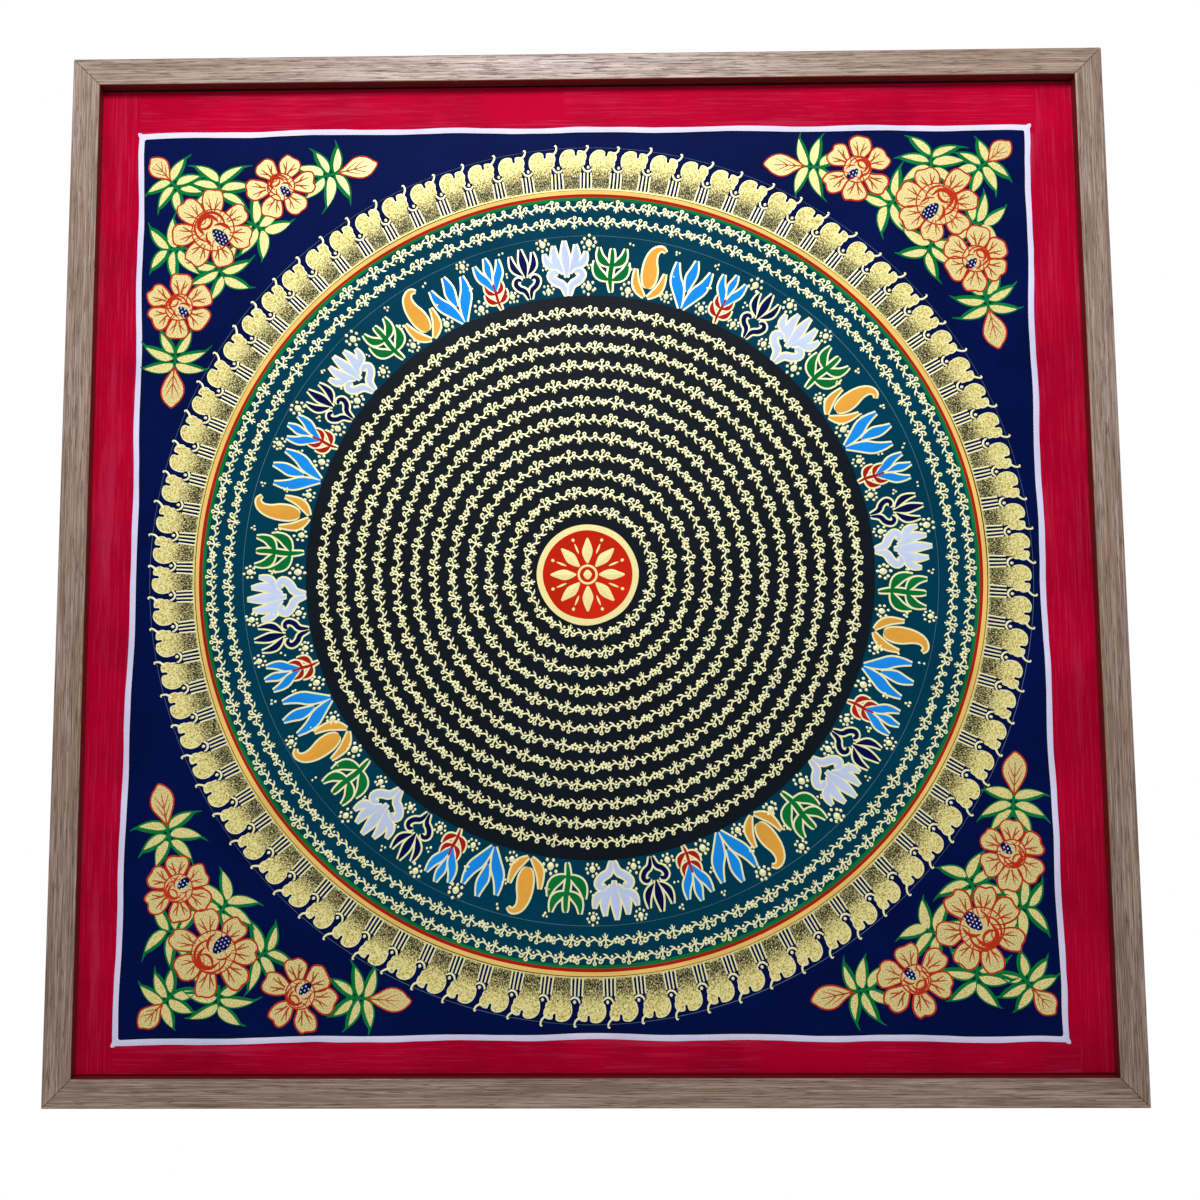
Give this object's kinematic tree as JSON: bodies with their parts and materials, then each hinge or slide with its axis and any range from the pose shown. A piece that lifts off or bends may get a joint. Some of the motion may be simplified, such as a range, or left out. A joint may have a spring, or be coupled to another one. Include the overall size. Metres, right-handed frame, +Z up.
{
  "type": "painted cotton thangka in a wooden picture frame",
  "caption": "Square painted cloth with a round mandala, held flat in a slim mitred wooden frame that hangs on a wall.",
  "frame": {"origin": "middle of the ledge under the top rail, behind the backing board, where the frame bears on its wall hook", "axes": "+Z up, the picture faces -Y, the wall is on the +Y side, +X to the right as seen from the front"},
  "size_m": [0.6, 0.026, 0.598],
  "materials": {
    "frame_wood": "satin, open grain",
    "painted_cotton": "matte paint on primed cotton",
    "backing_fibreboard": "raw"
  },
  "bodies": {
    "root": {"frame_top": "frame_wood", "frame_bottom": "frame_wood", "frame_left": "frame_wood", "frame_right": "frame_wood", "painted_cloth": "painted_cotton", "backing_board": "backing_fibreboard"}
  },
  "joints": []
}
